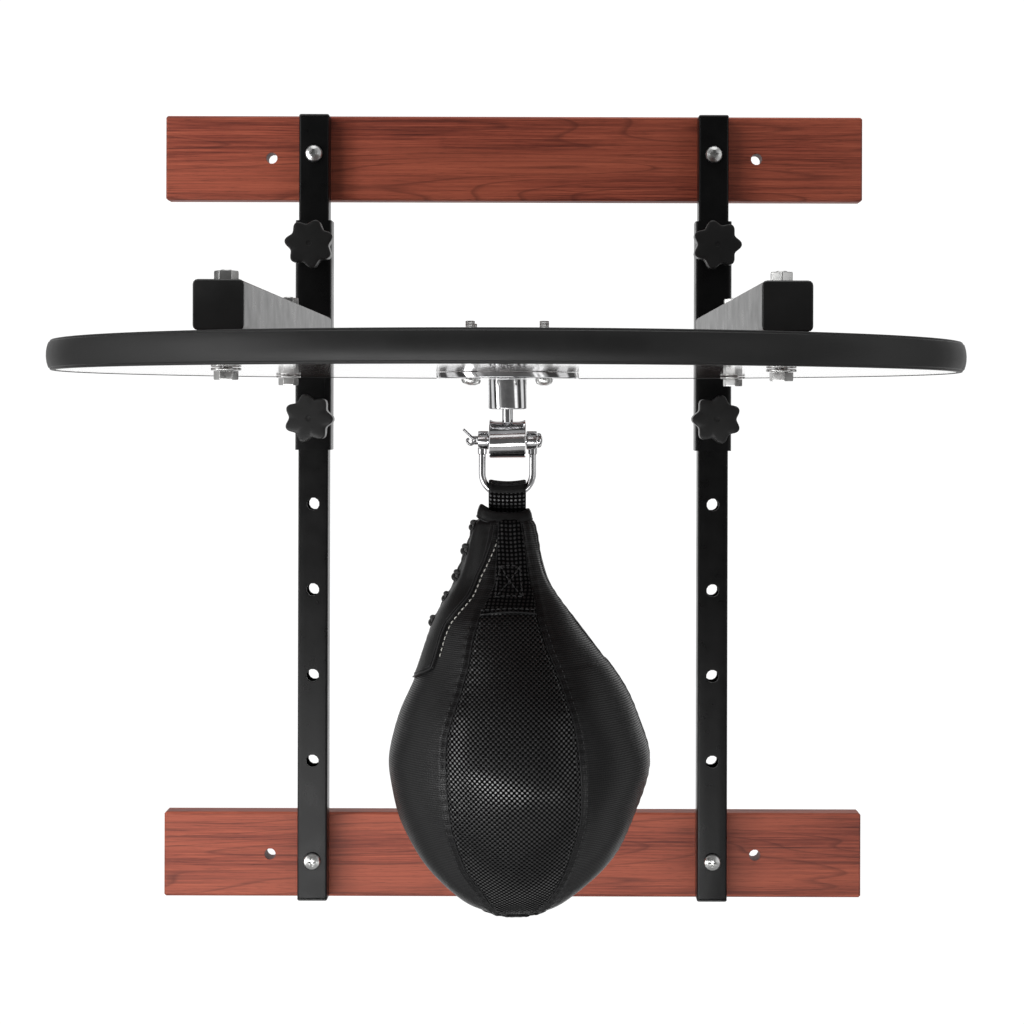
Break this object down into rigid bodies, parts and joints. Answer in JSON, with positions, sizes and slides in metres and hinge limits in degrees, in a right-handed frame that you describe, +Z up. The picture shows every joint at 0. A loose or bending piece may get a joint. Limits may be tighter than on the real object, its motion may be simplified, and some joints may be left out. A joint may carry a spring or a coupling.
{
  "type": "speed bag platform",
  "caption": "Wall-mounted round rebound board on height-adjustable arms, with a teardrop speed bag hanging from a ball-bearing style swivel.",
  "frame": {"origin": "middle of the top rail's back face, the face that lies against the wall", "axes": "+X to the right seen from the front, +Y into the wall, +Z up"},
  "size_m": [0.61, 0.6645, 0.6576],
  "materials": {
    "rail_wood": "cherry-stained hardwood, satin lacquer, open grain",
    "board_wood": "cherry-stained board, glossy lacquer",
    "black_paint": "glossy black powder coat",
    "black_plastic": "moulded black plastic, satin",
    "edge_rubber": "satin black rubber",
    "zinc_steel": "bright zinc plate",
    "chrome": "polished chrome plate",
    "woven_leather": "black coated leather with a pressed weave",
    "smooth_leather": "smooth black leather",
    "bladder_rubber": "natural latex",
    "lace_cord": "round woven black lace"
  },
  "bodies": {
    "wall_frame": {"rail_bolt_bottom_left": "zinc_steel", "rail_bolt_bottom_right": "zinc_steel", "rail_bolt_top_left": "zinc_steel", "rail_bolt_top_right": "zinc_steel", "tee_nut_bottom_left": "zinc_steel", "tee_nut_bottom_right": "zinc_steel", "tee_nut_top_left": "zinc_steel", "tee_nut_top_right": "zinc_steel", "upright_left": "black_paint", "upright_plug_bottom_left": "black_plastic", "upright_plug_bottom_right": "black_plastic", "upright_plug_top_left": "black_plastic", "upright_plug_top_right": "black_plastic", "upright_right": "black_paint", "wall_rail_bottom": "rail_wood", "wall_rail_top": "rail_wood"},
    "carriage": {"arm_end_cap_left": "black_plastic", "arm_end_cap_right": "black_plastic", "arm_left": "black_paint", "arm_right": "black_paint", "edge_band": "edge_rubber", "platform_board": "board_wood", "platform_bolt_front_left": "zinc_steel", "platform_bolt_front_right": "zinc_steel", "platform_bolt_rear_left": "zinc_steel", "platform_bolt_rear_right": "zinc_steel", "platform_nut_front_left": "zinc_steel", "platform_nut_front_right": "zinc_steel", "platform_nut_rear_left": "zinc_steel", "platform_nut_rear_right": "zinc_steel", "platform_washer_front_left": "zinc_steel", "platform_washer_front_right": "zinc_steel", "platform_washer_rear_left": "zinc_steel", "platform_washer_rear_right": "zinc_steel", "sleeve_left": "black_paint", "sleeve_right": "black_paint", "swivel_housing": "chrome", "swivel_nut_front_left": "zinc_steel", "swivel_nut_front_right": "zinc_steel", "swivel_nut_rear_left": "zinc_steel", "swivel_nut_rear_right": "zinc_steel", "swivel_plate": "chrome", "swivel_screw_front_left": "zinc_steel", "swivel_screw_front_right": "zinc_steel", "swivel_screw_rear_left": "zinc_steel", "swivel_screw_rear_right": "zinc_steel"},
    "knob_upper_left": {"star_knob_upper_left": "black_plastic"},
    "knob_upper_right": {"star_knob_upper_right": "black_plastic"},
    "knob_lower_left": {"star_knob_lower_left": "black_plastic"},
    "knob_lower_right": {"star_knob_lower_right": "black_plastic"},
    "swivel": {"swivel_spindle": "chrome", "swivel_barrel": "chrome", "pivot_bolt": "chrome", "cotter_pin": "chrome"},
    "shackle": {"shackle": "chrome"},
    "bag": {"bag_bladder": "bladder_rubber", "bag_collar": "smooth_leather", "bag_cover": "woven_leather", "bag_lace": "lace_cord", "bag_strap": "woven_leather"}
  },
  "joints": [
    {"name": "height_slide", "type": "slide", "parent": "wall_frame", "child": "carriage", "axis": [0, 0, 1], "range_m": [-0.2856, 0]},
    {"name": "knob_upper_left_turn", "type": "hinge", "parent": "carriage", "child": "knob_upper_left", "pos_m": [-0.1666, -0.0506, -0.0762], "axis": [0, 1, 0], "continuous": true},
    {"name": "knob_upper_right_turn", "type": "hinge", "parent": "carriage", "child": "knob_upper_right", "pos_m": [0.1666, -0.0506, -0.0762], "axis": [0, 1, 0], "continuous": true},
    {"name": "knob_lower_left_turn", "type": "hinge", "parent": "carriage", "child": "knob_lower_left", "pos_m": [-0.1666, -0.0506, -0.219], "axis": [0, 1, 0], "continuous": true},
    {"name": "knob_lower_right_turn", "type": "hinge", "parent": "carriage", "child": "knob_lower_right", "pos_m": [0.1666, -0.0506, -0.219], "axis": [0, 1, 0], "continuous": true},
    {"name": "swivel_spin", "type": "hinge", "parent": "carriage", "child": "swivel", "pos_m": [0, -0.3595, -0.2108], "axis": [0, 0, 1], "continuous": true},
    {"name": "shackle_swing", "type": "hinge", "parent": "swivel", "child": "shackle", "pos_m": [0, -0.3595, -0.2319], "axis": [1, 0, 0], "range_deg": [-52, 52]},
    {"name": "bag_swing", "type": "hinge", "parent": "shackle", "child": "bag", "pos_m": [0, -0.3595, -0.2682], "axis": [1, 0, 0], "range_deg": [-20, 20]}
  ]
}
